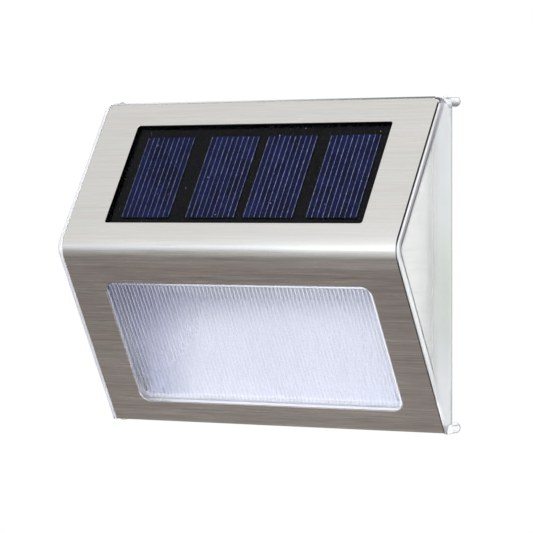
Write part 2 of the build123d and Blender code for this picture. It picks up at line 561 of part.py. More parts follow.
x_tip = X_NEG + CELL_LEN
plus = box(x_tip, x_tip + 0.4, BAT_Y - 4.5, BAT_Y + 4.5, 8.4, BAT_Z + 4.5)
plus = plus + box(x_tip, x_tip + 0.4, BAT_Y - 1.2, BAT_Y + 1.2, 6.2, 8.6)
plus = plus + box(x_tip, 28.8, BAT_Y - 1.2, BAT_Y + 1.2, 6.2, 6.6)
keep("battery_plate", plus)

# negative contact: a bowed leaf between the holder's end and the cell
leaf = box(-27.6, -27.2, BAT_Y - 4.5, BAT_Y + 4.5, 8.4, BAT_Z + 4.5)
leaf = leaf + box(-27.6, -27.2, BAT_Y - 1.2, BAT_Y + 1.2, 6.2, 8.6)
leaf = leaf + box(-29.8, -27.2, BAT_Y - 1.2, BAT_Y + 1.2, 6.2, 6.6)
bow_c = [(-27.4, BAT_Z + 4.4), (X_NEG - 0.2, BAT_Z), (-27.4, BAT_Z - 4.4)]
bow_o = ThreePointArc((-27.2, BAT_Z + 4.4), (X_NEG, BAT_Z), (-27.2, BAT_Z - 4.4))
bow_i = ThreePointArc((-27.2, BAT_Z - 3.9), (X_NEG - 0.4, BAT_Z), (-27.2, BAT_Z + 3.9))
bow = make_face(Wire([
    bow_o, Line((-27.2, BAT_Z - 4.4), (-27.2, BAT_Z - 3.9)), bow_i, Line((-27.2, BAT_Z + 3.9), (-27.2, BAT_Z + 4.4)),
]))
bow_plane = Plane(origin=(0, BAT_Y + 2.5, 0), x_dir=(1, 0, 0), z_dir=(0, -1, 0))
leaf = leaf + extrude(bow_plane * bow, amount=5.0)
keep("battery_leaf", leaf)


# ---------------------------------------------------------------- leads inside the housing
def lead(name, pts):
    """A round lead: straight runs joined by tangent arcs, each as large as its two runs allow."""
    radii = []
    for i in range(1, len(pts) - 1):
        a, b, c = Vector(*pts[i - 1]), Vector(*pts[i]), Vector(*pts[i + 1])
        u, v = b - a, c - b
        turn = math.radians(u.get_angle(v))
        radii.append(0.45 * min(u.length, v.length) / math.tan(turn / 2))
    path = FilletPolyline(*pts, radius=radii) if radii else Line(*pts)
    tube = sweep(Plane(origin=path @ 0, z_dir=path % 0) * Circle(WIRE_R), path=path)
    want = math.pi * WIRE_R**2 * path.length
    print(name, "radii", [round(r, 1) for r in radii], "volume ratio", round(tube.volume / want, 4), "length", round(path.length, 1))
    keep(name, tube)


def on_upper(x, v, d):
    p = inset((F[0] + U_UP[0] * v, F[1] + U_UP[1] * v), N_UP, d)
    return (x, p[0], p[1])


LIE = BOARD_FRONT - WIRE_R - 0.02
lead("panel_lead_red", [
    on_upper(LEAD_X[0], LEAD_V, P_BACK), on_upper(LEAD_X[0], LEAD_V, P_BACK + 5.6), (39.5, -13.2, 7.6),
    (35.5, -9.6, 3.2), (28.0, LIE, 2.0), (20.0, LIE - 0.2, 1.7), (13.0, LIE, 2.0),
])
lead("panel_lead_black", [
    on_upper(LEAD_X[1], LEAD_V, P_BACK), on_upper(LEAD_X[1], LEAD_V, P_BACK + 5.6), (43.5, -13.0, 7.0),
    (40.0, -9.6, 1.5), (31.0, LIE, -0.2), (21.0, LIE - 0.2, -0.5), (13.5, LIE, -0.2),
])
lead("battery_lead_red", [
    (28.8, BAT_Y, 6.4), (33.5, -12.5, 5.6), (36.0, -11.2, 0.5), (32.5, -9.8, -5.0), (25.0, LIE, -8.0),
    (18.0, LIE - 0.1, -8.9), (12.5, LIE, -8.5),
])
lead("battery_lead_black", [
    (-29.8, BAT_Y, 6.4), (-34.5, -12.5, 5.6), (-36.5, -11.2, 0.5), (-32.5, -9.8, -5.0), (-25.0, LIE, -8.0),
    (-18.0, LIE - 0.1, -8.9), (-12.5, LIE, -8.5),
])
lead("led_lead_red", [(1.8, -17.0, 2.0), (1.8, -13.5, 1.9), (1.7, BOARD_FRONT, 2.0)])
lead("led_lead_black", [(-1.4, -17.0, 2.0), (-1.4, -13.5, 1.9), (-1.3, BOARD_FRONT, 2.0)])

# ---------------------------------------------------------------- write one file per piece
for name, shape in NODES.items():
    solids = shape.solids()
    out = solids[0] if len(solids) == 1 else Compound(children=list(solids))
    out.label = name
    export_step(out, os.path.join("parts", name + ".step"))
print(len(NODES), "pieces written")
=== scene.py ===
import math
import random

import bmesh
import bpy
from mathutils import Matrix, Vector


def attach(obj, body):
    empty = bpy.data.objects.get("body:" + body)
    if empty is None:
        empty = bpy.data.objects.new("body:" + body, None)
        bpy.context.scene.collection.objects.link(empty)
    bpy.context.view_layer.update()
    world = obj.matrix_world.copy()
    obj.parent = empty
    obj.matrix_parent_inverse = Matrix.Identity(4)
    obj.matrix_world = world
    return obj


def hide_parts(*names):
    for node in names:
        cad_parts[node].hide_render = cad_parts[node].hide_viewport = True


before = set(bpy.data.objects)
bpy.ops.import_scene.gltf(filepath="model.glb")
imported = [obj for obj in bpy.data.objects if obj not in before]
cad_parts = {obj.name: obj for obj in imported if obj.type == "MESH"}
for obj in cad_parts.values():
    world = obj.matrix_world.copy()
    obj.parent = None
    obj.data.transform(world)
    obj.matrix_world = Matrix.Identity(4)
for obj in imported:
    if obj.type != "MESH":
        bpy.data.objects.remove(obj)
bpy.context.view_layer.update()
scene = bpy.context.scene
MM = 0.001

# ------------------------------------------------------------------ shape of the light, in millimetres
TOP = (-5.46, 50.0)          # (y, z) of the top front edge
FOLD = (-33.75, 5.1)         # the sharp fold line
FOOT = (-2.64, -50.0)        # the bottom front edge


def unit(a, b):
    d = math.dist(a, b)
    return ((b[0] - a[0]) / d, (b[1] - a[1]) / d)


U_UP = unit(FOLD, TOP)
N_UP = (-U_UP[1], U_UP[0])
L_UP = math.dist(FOLD, TOP)
U_LO = unit(FOLD, FOOT)
N_LO = (U_LO[1], -U_LO[0])
FOLD_R = 5.0                 # radius of the housing's rim round the fold
FOLD_T = FOLD_R / math.tan(0.5 * math.acos(U_UP[0] * U_LO[0] + U_UP[1] * U_LO[1]))
BEND = (FOLD[0] + FOLD_T * U_UP[0] - FOLD_R * N_UP[0], FOLD[1] + FOLD_T * U_UP[1] - FOLD_R * N_UP[1])


def on_panel(x, s, depth):
    """A point on the upper slope: x across, s below the top edge, depth below the rim. In metres."""
    v = L_UP - s
    y = FOLD[0] + U_UP[0] * v - N_UP[0] * depth
    z = FOLD[1] + U_UP[1] * v - N_UP[1] * depth
    return Vector((x, y, z)) * MM


# ------------------------------------------------------------------ node helpers
class Mat:
    """A procedural material: one principled shader fed by noise in the object's own coordinates."""

    def __init__(self, name, **sockets):
        self.m = bpy.data.materials.new(name)
        self.m.use_nodes = True
        self.t = self.m.node_tree
        self.t.nodes.clear()
        self.out = self.add("ShaderNodeOutputMaterial")
        self.p = self.add("ShaderNodeBsdfPrincipled")
        self.t.links.new(self.p.outputs["BSDF"], self.out.inputs["Surface"])
        self.xyz = self.add("ShaderNodeTexCoord").outputs["Object"]
        for k, v in sockets.items():
            self.p.inputs[k.replace("_", " ")].default_value = v

    def add(self, kind, **props):
        n = self.t.nodes.new(kind)
        for k, v in props.items():
            setattr(n, k, v)
        return n

    def put(self, value, socket):
        if isinstance(value, bpy.types.NodeSocket):
            self.t.links.new(value, socket)
        else:
            socket.default_value = value

    def shifted(self, scale=(1, 1, 1), shift=(0, 0, 0), turn=(0, 0, 0)):
        n = self.add("ShaderNodeMapping")
        self.put(self.xyz, n.inputs["Vector"])
        n.inputs["Scale"].default_value = scale
        n.inputs["Location"].default_value = shift
        n.inputs["Rotation"].default_value = turn
        return n.outputs["Vector"]

    def noise(self, scale, detail=3.0, rough=0.5, stretch=None, shift=(0, 0, 0), distort=0.0):
        n = self.add("ShaderNodeTexNoise")
        vec = self.shifted(stretch, shift) if stretch or any(shift) else self.xyz
        self.put(vec, n.inputs["Vector"])
        n.inputs["Scale"].default_value = scale
        n.inputs["Detail"].default_value = detail
        n.inputs["Roughness"].default_value = rough
        n.inputs["Distortion"].default_value = distort
        return n.outputs["Fac"]

    def cells(self, scale, feature="F1", stretch=None, metric="EUCLIDEAN", out="Distance", randomness=1.0):
        n = self.add("ShaderNodeTexVoronoi", feature=feature)
        if feature != "DISTANCE_TO_EDGE":
            n.distance = metric
        self.put(self.shifted(stretch) if stretch else self.xyz, n.inputs["Vector"])
        n.inputs["Scale"].default_value = scale
        n.inputs["Randomness"].default_value = randomness
        return n.outputs[out]

    def ramp(self, fac, *stops, ease="LINEAR"):
        n = self.add("ShaderNodeValToRGB")
        n.color_ramp.interpolation = ease
        e = n.color_ramp.elements
        while len(e) < len(stops):
            e.new(0.5)
        for el, (pos, col) in zip(e, stops):
            el.position = pos
            el.color = (*col, 1.0) if len(col) == 3 else col
        self.put(fac, n.inputs["Fac"])
        return n.outputs["Color"]

    def remap(self, fac, lo, hi, a, b, smooth=False):
        n = self.add("ShaderNodeMapRange")
        if smooth:
            n.interpolation_type = "SMOOTHSTEP"
        self.put(fac, n.inputs["Value"])
        for k, v in zip(("From Min", "From Max", "To Min", "To Max"), (lo, hi, a, b)):
            n.inputs[k].default_value = v
        return n.outputs["Result"]

    def math(self, op, a, b=None):
        n = self.add("ShaderNodeMath", operation=op)
        self.put(a, n.inputs[0])
        if b is not None:
            self.put(b, n.inputs[1])
        return n.outputs["Value"]

    def vmath(self, op, a, b=None, out="Vector"):
        n = self.add("ShaderNodeVectorMath", operation=op)
        self.put(a, n.inputs[0])
        if b is not None:
            self.put(b, n.inputs[1])
        return n.outputs[out]

    def axis(self, which):
        n = self.add("ShaderNodeSeparateXYZ")
        self.put(self.xyz, n.inputs["Vector"])
        return n.outputs[which]

    def along(self, way):
        """Distance along a direction in (y, z), measured from the fold line, in metres."""
        rel = self.vmath("SUBTRACT", self.xyz, (0.0, FOLD[0] * MM, FOLD[1] * MM))
        return self.vmath("DOT_PRODUCT", rel, (0.0, way[0], way[1]), "Value")

    def mix(self, fac, a, b, blend="MIX"):
        n = self.add("ShaderNodeMix", data_type="RGBA", blend_type=blend)
        self.put(fac, n.inputs["Factor"])
        self.put(a if isinstance(a, bpy.types.NodeSocket) else (*a, 1.0), n.inputs[6])
        self.put(b if isinstance(b, bpy.types.NodeSocket) else (*b, 1.0), n.inputs[7])
        return n.outputs[2]

    def bump(self, height, strength, distance):
        n = self.add("ShaderNodeBump")
        n.inputs["Strength"].default_value = strength
        n.inputs["Distance"].default_value = distance
        self.put(height, n.inputs["Height"])
        old = self.p.inputs["Normal"]
        if old.is_linked:
            self.t.links.new(old.links[0].from_socket, n.inputs["Normal"])
        self.t.links.new(n.outputs["Normal"], old)

    def colour(self, value):
        self.put(value, self.p.inputs["Base Color"])

    def rough(self, value):
        self.put(value, self.p.inputs["Roughness"])


MATS = {}


def keep(slot, mat):
    MATS[slot] = mat.m
    return mat


def moulded(slot, a, b, rough=(0.4, 0.55), grain=2600.0, depth=0.00002, patch=90.0, **sockets):
    """Moulded plastic: cloudy colour, fine spark-eroded grain, uneven gloss."""
    m = Mat(slot, **sockets)
    m.colour(m.ramp(m.noise(patch, 4.0, 0.55), (0.3, a), (0.7, b)))
    m.rough(m.remap(m.noise(patch * 2.3, 3.0), 0.3, 0.7, *rough))
    m.bump(m.noise(grain, 2.0, 0.6), 0.35, depth)
    return keep(slot, m)


def metal(slot, a, b, rough=(0.2, 0.35), stretch=(1, 1, 1), grain=900.0, depth=0.00001, **sockets):
    """Plated or drawn metal with fine lay and slight tarnish."""
    m = Mat(slot, Metallic=1.0, **sockets)
    lay = m.noise(grain, 4.0, 0.6, stretch)
    m.colour(m.ramp(m.noise(140.0, 4.0, 0.6), (0.3, a), (0.7, b)))
    m.rough(m.remap(lay, 0.3, 0.7, *rough))
    m.bump(lay, 0.3, depth)
    return keep(slot, m)


# ------------------------------------------------------------------ visible materials
def make_steel():
    """Brushed stainless sheet, brushed along X."""
    m = Mat("steel_brushed", Metallic=1.0, Anisotropic=0.45)
    band = m.noise(1.0, 3.0, 0.6, (11.0, 420.0, 420.0))
    streak = m.noise(1.0, 4.0, 0.65, (38.0, 2000.0, 2000.0), (3.1, 0.7, 0.2))
    hair = m.noise(1.0, 2.0, 0.6, (120.0, 5200.0, 5200.0), (7.7, 1.9, 4.1))
    cloud = m.noise(26.0, 3.0, 0.5, (0.6, 1.0, 1.0), (0.0, 4.0, 2.0))
    lines = m.math("ADD", m.math("MULTIPLY", band, 0.2), m.math("ADD", m.math("MULTIPLY", streak, 0.5), m.math("MULTIPLY", hair, 0.3)))
    soft = m.ramp(lines, (0.38, (0.592, 0.578, 0.558)), (0.5, (0.620, 0.606, 0.586)), (0.62, (0.648, 0.635, 0.616)))
    deep = m.ramp(lines, (0.39, (0.500, 0.462, 0.438)), (0.5, (0.632, 0.595, 0.570)), (0.61, (0.760, 0.728, 0.700)))
    low = m.remap(m.axis("Z"), 0.0005, 0.0075, 1.0, 0.0, True)
    # painted shade: the lower slope is darker towards the bend and towards one end
    deep = m.mix(m.remap(m.axis("Z"), -0.034, -0.001, 0.0, 0.13), deep, (0.0, 0.0, 0.0))
    deep = m.mix(m.remap(m.axis("X"), 0.044, 0.054, 0.0, 0.08), deep, (0.0, 0.0, 0.0))
    # painted highlight: paler again in the lower part of the bend, more so towards one end
    roll = m.math("SUBTRACT", m.axis("Z"), m.remap(m.axis("X"), 0.0, 0.040, 0.0, 0.0024, True))
    roll = m.math("MULTIPLY", m.remap(m.axis("Z"), -0.0018, 0.0002, 0.0, 0.32, True), m.remap(roll, 0.0014, 0.0030, 1.0, 0.0, True))
    roll = m.math("MULTIPLY", roll, m.remap(m.axis("X"), 0.0, 0.045, 1.0, 1.7, True))
    deep = m.mix(roll, deep, (0.86, 0.84, 0.82))
    tone = m.mix(low, soft, deep)
    tint = m.ramp(m.noise(1.0, 3.0, 0.6, (16.0, 700.0, 700.0), (1.3, 5.7, 2.9)), (0.36, (1.0, 0.975, 0.955)), (0.5, (1.0, 0.993, 0.985)), (0.64, (0.975, 1.0, 0.98)))
    tone = m.mix(1.0, tone, tint, "MULTIPLY")
    sheet = m.mix(m.remap(cloud, 0.35, 0.65, 0.0, 0.2), tone, (0.615, 0.60, 0.578), "MIX")
    # painted highlight: a little brighter just above the bend, more so towards one end
    painted_fold_sheen = m.math("MULTIPLY", m.remap(m.along(U_UP), 0.003, 0.016, 1.0, 0.0, True), m.remap(m.axis("X"), -0.06, 0.06, 0.15, 0.75))
    painted_fold_sheen = m.math("MULTIPLY", painted_fold_sheen, m.remap(m.axis("Z"), 0.001, 0.006, 0.0, 1.0))
    sheet = m.mix(painted_fold_sheen, sheet, (0.69, 0.685, 0.672))
    # painted highlight: a pale band along the bend, growing towards one end
    painted_bend_highlight = m.math("MULTIPLY", m.remap(m.axis("Z"), 0.0030, 0.0041, 0.0, 1.0, True), m.remap(m.axis("Z"), 0.0048, 0.0060, 1.0, 0.0, True))
    sheet = m.mix(m.math("MULTIPLY", painted_bend_highlight, m.remap(m.axis("X"), 0.004, 0.032, 0.0, 0.6, True)), sheet, (0.86, 0.85, 0.84))
    # painted shade: the sheared side edges are dark, near black on the upper slope at one end
    cut_edge_shade = m.math("MAXIMUM", m.remap(m.math("ABSOLUTE", m.axis("X")), 0.05849, 0.058497, 0.0, 1.0), m.remap(m.axis("X"), 0.05838, 0.05842, 0.0, 1.0))
    m.colour(m.mix(cut_edge_shade, sheet, m.mix(m.math("MULTIPLY", m.remap(m.axis("Z"), -0.003, 0.008, 0.0, 1.0, True), m.remap(m.axis("X"), -0.001, 0.001, 0.0, 1.0)), (0.34, 0.315, 0.30), (0.02, 0.019, 0.02))))
    m.rough(m.math("ADD", m.remap(lines, 0.38, 0.62, 0.19, 0.28), m.math("MULTIPLY", cut_edge_shade, 0.3)))
    m.bump(m.math("ADD", m.math("MULTIPLY", streak, 0.6), m.math("MULTIPLY", hair, 0.4)), 0.22, 0.00004)
    geo = m.add("ShaderNodeNewGeometry")
    cross = m.vmath("CROSS_PRODUCT", geo.outputs["Normal"], (1.0, 0.0, 0.0))
    m.t.links.new(cross, m.p.inputs["Tangent"])
    return keep("steel", m)


def make_clear():
    """Clear moulded housing: glossy, slightly cloudy, whiter in its rims, pegs and thick corners, with painted shade in
    lines and patches along its edges, corners and pegs.
    """
    m = Mat("clear_moulding", IOR=1.47)
    flow = m.noise(55.0, 3.0, 0.5, (1.0, 2.2, 0.5))
    wall = m.ramp(flow, (0.3, (0.955, 0.965, 0.97)), (0.7, (0.985, 0.988, 0.99)))
    thick = m.ramp(flow, (0.3, (0.905, 0.91, 0.925)), (0.7, (0.95, 0.955, 0.965)))
    # depth below the two slopes and the round of the fold between them
    flat = m.math("MINIMUM", m.math("MULTIPLY", m.along(N_UP), -1.0), m.math("MULTIPLY", m.along(N_LO), -1.0))
    arm = m.vmath("MULTIPLY", m.vmath("SUBTRACT", m.xyz, (0.0, BEND[0] * MM, BEND[1] * MM)), (0.0, 1.0, 1.0))
    bow = m.math("SUBTRACT", FOLD_R * MM, m.vmath("LENGTH", arm, out="Value"))
    fore = m.math("MULTIPLY", *(m.math("LESS_THAN", m.vmath("DOT_PRODUCT", arm, (0.0, u[0], u[1]), "Value"), 0.0) for u in (U_UP, U_LO)))
    near = m.math("ADD", flat, m.math("MULTIPLY", fore, m.math("SUBTRACT", bow, flat)))
    wide = m.math("ABSOLUTE", m.axis("X"))
    up = m.remap(m.axis("Z"), -0.002, 0.009, 0.0, 1.0, True)
    # cloudy crown of the bead, thick foot, rear band of the end wall, top corners; the top and bottom corners of one
    # end also carry painted shade
    east = m.remap(m.axis("X"), -0.001, 0.001, 0.0, 1.0)
    inner = m.math("MULTIPLY", m.remap(wide, 0.0589, 0.0592, 1.0, 0.0, True), east)
    rim = m.math("MULTIPLY", m.remap(near, 0.0006, 0.0011, 1.0, 0.0, True), m.math("SUBTRACT", 1.0, inner))
    foot = m.remap(m.axis("Z"), -0.0465, -0.0425, 1.0, 0.0, True)
    rear = m.remap(m.axis("Y"), -0.0165, -0.0065, 0.0, 1.0, True)
    band = m.math("MULTIPLY", rear, m.remap(wide, 0.0594, 0.0597, 0.0, 1.0, True))
    deep, high_up = m.axis("Y"), m.axis("Z")
    ax = m.math("MAXIMUM", m.math("SUBTRACT", wide, 0.0568), 0.0)
    az = m.math("MAXIMUM", m.math("SUBTRACT", high_up, 0.0468), 0.0)
    arc = m.math("SQRT", m.math("ADD", m.math("MULTIPLY", ax, ax), m.math("MULTIPLY", az, az)))
    side = m.math("MULTIPLY", m.remap(arc, 0.0022, 0.0026, 0.0, 1.0, True), m.remap(ax, 0.0, 0.0004, 0.0, 1.0))
    crest = m.math("MULTIPLY", m.math("MULTIPLY", side, m.remap(high_up, 0.0497, 0.0499, 0.0, 1.0, True)), east)
    cap = m.math("MULTIPLY", m.remap(high_up, 0.0475, 0.0482, 0.0, 1.0, True), m.math("MULTIPLY", side, m.remap(high_up, 0.0496, 0.0498, 1.0, 0.0, True)))
    cap = m.math("MULTIPLY", m.math("MULTIPLY", cap, east), m.remap(deep, -0.0037, -0.0029, 1.0, 0.0, True))
    shaded_low_corner = m.math("MULTIPLY", m.remap(high_up, -0.0478, -0.0470, 1.0, 0.0, True), m.math("MULTIPLY", m.remap(deep, -0.0030, -0.0024, 1.0, 0.0, True), m.remap(m.axis("X"), 0.0587, 0.0590, 0.0, 1.0)))
    shaded_corners = m.math("MAXIMUM", cap, shaded_low_corner)
    # the root of each peg shows in the end wall, with painted shade on the upper root and a painted grey ring round
    # each root
    dy = m.math("MINIMUM", m.math("ADD", deep, 0.0014), 0.0)
    dz = m.math("SUBTRACT", high_up, m.remap(high_up, -0.001, 0.001, -0.0489, 0.0481))
    gap = m.math("SQRT", m.math("ADD", m.math("MULTIPLY", dy, dy), m.math("MULTIPLY", dz, dz)))
    root = m.math("MULTIPLY", m.remap(gap, 0.00145, 0.0016, 1.0, 0.0), side)
    ring = m.math("MULTIPLY", m.math("MULTIPLY", m.remap(gap, 0.0014, 0.00155, 0.0, 0.85), m.remap(gap, 0.0017, 0.0019, 1.0, 0.0)), side)
    peg = m.remap(m.axis("Y"), 0.0, 0.0003, 0.0, 1.0, True)
    cloud = m.remap(m.noise(90.0, 3.0), 0.3, 0.7, -0.03, 0.03)
    tone = m.mix(m.math("MAXIMUM", rim, foot), wall, thick)
    # painted shade: the bead greyer and bluer on the lower slope at the other end
    tone = m.mix(m.math("MULTIPLY", m.math("MULTIPLY", rim, m.math("SUBTRACT", 1.0, east)), m.math("MULTIPLY", m.math("SUBTRACT", 1.0, up), 0.6)), tone, (0.70, 0.695, 0.785))
    # painted shade: the rear band of the end wall is darker through the middle of its height
    height = m.remap(m.axis("Z"), -0.05, 0.05, 0.0, 1.0)
    haze = m.ramp(height, (0.04, (0.64, 0.65, 0.665)), (0.16, (0.62, 0.63, 0.65)), (0.28, (0.52, 0.54, 0.535)), (0.40, (0.505, 0.535, 0.505)), (0.52, (0.515, 0.547, 0.515)), (0.64, (0.575, 0.588, 0.592)), (0.80, (0.585, 0.597, 0.613)), (1.0, (0.60, 0.612, 0.624)))
    tone = m.mix(band, tone, haze)
    # painted shade: the top corner of one end near black, its bottom corner grey
    tone = m.mix(shaded_corners, tone, m.mix(m.remap(high_up, -0.001, 0.001, 0.0, 1.0), (0.42, 0.42, 0.435), (0.15, 0.145, 0.17)))
    shade = m.ramp(m.remap(high_up, 0.0464, 0.0497, 0.0, 1.0), (0.0, (0.20, 0.20, 0.21)), (0.18, (0.27, 0.27, 0.28)), (0.33, (0.42, 0.42, 0.43)), (0.48, (0.66, 0.66, 0.67)), (0.86, (0.82, 0.82, 0.82)), (0.95, (0.40, 0.40, 0.41)))
    tone = m.mix(root, tone, m.mix(m.remap(high_up, -0.001, 0.001, 0.0, 1.0), (0.86, 0.86, 0.865), shade))
    tone = m.mix(ring, tone, (0.33, 0.33, 0.35))
    tone = m.mix(crest, tone, (0.94, 0.94, 0.945))
    # painted shade: grey line where the bead turns into the end wall, strongest on the upper slope at one end
    turn = m.math("MULTIPLY", m.remap(near, 0.00002, 0.00025, 0.0, 1.0, True), m.remap(near, 0.0011, 0.0025, 1.0, 0.0, True))
    turn = m.math("MULTIPLY", turn, m.remap(wide, 0.05945, 0.0597, 0.0, 1.0, True))
    turn = m.math("MULTIPLY", turn, m.math("MULTIPLY", m.remap(up, 0.0, 1.0, 0.10, 0.92), m.remap(east, 0.0, 1.0, 0.35, 1.0)))
    tone = m.mix(turn, tone, m.mix(up, (0.50, 0.49, 0.53), (0.30, 0.285, 0.32)))
    # shadow line in the groove beside the steel
    groove = m.math("MULTIPLY", m.remap(wide, 0.0591, 0.05925, 1.0, 0.0, True), m.remap(near, 0.0012, 0.0016, 1.0, 0.0))
    groove = m.math("MULTIPLY", m.math("MULTIPLY", groove, m.remap(wide, 0.05855, 0.05865, 0.0, 1.0)), m.math("MULTIPLY", m.math("MULTIPLY", up, east), 0.92))
    tone = m.mix(groove, tone, (0.03, 0.028, 0.03))
    # pegs: painted shade, pale along the middle, grey along their upper and lower sides, darker at their ends
    high = m.ramp(m.remap(m.axis("Z"), 0.0471, 0.0505, 0.0, 1.0), (0.0, (0.13, 0.13, 0.135)), (0.14, (0.14, 0.14, 0.15)), (0.30, (0.26, 0.26, 0.28)), (0.45, (0.58, 0.58, 0.58)), (0.74, (0.82, 0.82, 0.82)), (0.82, (0.30, 0.30, 0.31)), (0.88, (0.95, 0.95, 0.95)))
    base = m.ramp(m.remap(m.axis("Z"), -0.0505, -0.0471, 0.0, 1.0), (0.05, (0.24, 0.24, 0.25)), (0.17, (0.77, 0.77, 0.78)), (0.68, (0.79, 0.79, 0.80)), (0.77, (0.28, 0.28, 0.29)), (0.85, (0.95, 0.95, 0.95)))
    shaded_peg_tip = m.math("MULTIPLY", m.remap(m.axis("Y"), 0.0050, 0.0058, 0.0, 0.8, True), m.remap(high_up, 0.0497, 0.0500, 1.0, 0.0))
    shaded_peg_tone = m.mix(m.remap(m.axis("Z"), -0.001, 0.001, 0.0, 1.0), base, high)
    tone = m.mix(peg, tone, m.mix(shaded_peg_tip, shaded_peg_tone, (0.24, 0.24, 0.25)))
    # the rear edge of the end wall is greyer
    back = m.math("MULTIPLY", m.remap(m.axis("Y"), -0.0014, -0.0008, 0.0, 0.85, True), m.remap(wide, 0.0596, 0.0598, 0.0, 1.0))
    back = m.math("MULTIPLY", back, m.math("SUBTRACT", 1.0, m.math("MAXIMUM", peg, root)))
    tone = m.mix(back, tone, (0.36, 0.39, 0.37))
    # painted shade: dark line along the lip over the steel, strongest at one end
    lip = m.math("MULTIPLY", m.remap(m.axis("Z"), 0.0494, 0.0496, 0.0, 1.0, True), m.remap(m.axis("Y"), -0.0049, -0.0043, 1.0, 0.0, True))
    lip = m.math("MULTIPLY", lip, m.math("MULTIPLY", m.remap(m.axis("X"), 0.0570, 0.0576, 1.0, 0.0, True), m.remap(m.axis("X"), -0.0580, -0.0545, 0.0, 1.0, True)))
    tone = m.mix(lip, tone, m.ramp(m.remap(m.axis("X"), -0.058, 0.058, 0.0, 1.0), (0.0, (0.64, 0.64, 0.65)), (0.45, (0.50, 0.50, 0.51)), (0.75, (0.20, 0.20, 0.205)), (1.0, (0.10, 0.10, 0.105))))
    m.colour(tone)
    edge = m.math("MAXIMUM", m.math("MAXIMUM", rim, foot), m.math("MAXIMUM", m.math("MULTIPLY", band, 1.25), shaded_corners))
    edge = m.math("MAXIMUM", m.math("MAXIMUM", edge, m.math("MULTIPLY", m.math("MAXIMUM", m.math("MAXIMUM", shaded_corners, crest), m.math("MAXIMUM", root, ring)), 1.3)), m.math("MAXIMUM", m.math("MULTIPLY", peg, 1.38), m.math("MULTIPLY", groove, 1.6)))
    clear = m.math("ADD", m.remap(m.math("MAXIMUM", edge, m.math("MULTIPLY", lip, 1.4)), 0.0, 1.4, 0.96, 0.15), cloud)
    m.put(clear, m.p.inputs["Transmission Weight"])
    m.rough(m.remap(m.noise(160.0, 3.0), 0.3, 0.7, 0.05, 0.11))
    m.bump(flow, 0.08, 0.0002)
    return keep("clear_plastic", m)


RIB_PITCH = 92.6 / 69
LENS_X = 0.3
LENS_S0, LENS_S1 = 13.5, 54.8          # fluted field, down from the fold


def make_lens():
    """Fluted lens: clear plastic, milky along the lines between its ribs and round its smooth border."""
    m = Mat("lens_moulding", IOR=1.47)
    haze = m.noise(70.0, 3.0, 0.5, (1.0, 0.6, 0.6))
    clear = m.ramp(haze, (0.3, (0.905, 0.914, 0.972)), (0.7, (0.925, 0.934, 0.985)))
    x = m.math("SUBTRACT", m.axis("X"), (LENS_X - 92.6 / 2) * MM)
    phase = m.math("FRACT", m.math("DIVIDE", x, RIB_PITCH * MM))
    valley = m.math("ABSOLUTE", m.math("SUBTRACT", phase, 0.5))
    s = m.along(U_LO)
    # painted shade: darker and bluer towards one upper corner
    painted_corner_shade = m.math("MULTIPLY", m.remap(m.axis("X"), -0.046, -0.014, 1.0, 0.0, True), m.remap(s, 0.014, 0.038, 1.0, 0.0, True))
    m.colour(m.mix(painted_corner_shade, clear, (0.64, 0.64, 0.76)))
    fade = m.math("MULTIPLY", m.remap(s, 0.013, 0.046, 0.92, 0.40), m.remap(m.axis("X"), -0.038, -0.008, 1.0, 0.4))
    line = m.math("MULTIPLY", m.remap(valley, 0.31, 0.46, 0.0, 1.0, True), m.math("MAXIMUM", m.remap(s, 0.0140, 0.0195, 0.95, 0.36, True), fade))
    side = m.math("SUBTRACT", m.math("ABSOLUTE", m.math("SUBTRACT", m.axis("X"), LENS_X * MM)), 92.6 / 2 * MM)
    ends = m.math("SUBTRACT", m.math("ABSOLUTE", m.math("SUBTRACT", s, (LENS_S0 + LENS_S1) / 2 * MM)), (LENS_S1 - LENS_S0) / 2 * MM)
    border = m.remap(m.math("MAXIMUM", side, ends), -0.0001, 0.0002, 0.0, 1.0, True)
    border = m.math("MULTIPLY", border, m.math("MAXIMUM", m.remap(m.axis("X"), -0.0465, 0.020, 0.25, 1.0), m.math("MULTIPLY", m.remap(s, 0.050, 0.054, 0.0, 1.0), m.remap(m.axis("X"), -0.044, -0.022, 0.2, 1.0))))
    patch = m.remap(m.noise(420.0, 3.0, 0.6), 0.3, 0.7, 0.86, 1.0)
    milk = m.math("MAXIMUM", m.math("MULTIPLY", line, patch), border)
    m.put(m.remap(milk, 0.0, 1.0, 0.97, 0.35), m.p.inputs["Transmission Weight"])
    m.rough(m.remap(m.noise(240.0, 3.0), 0.3, 0.7, 0.11, 0.17))
    m.bump(m.noise(1900.0, 2.0, 0.6), 0.05, 0.00002)
    return keep("lens_plastic", m)


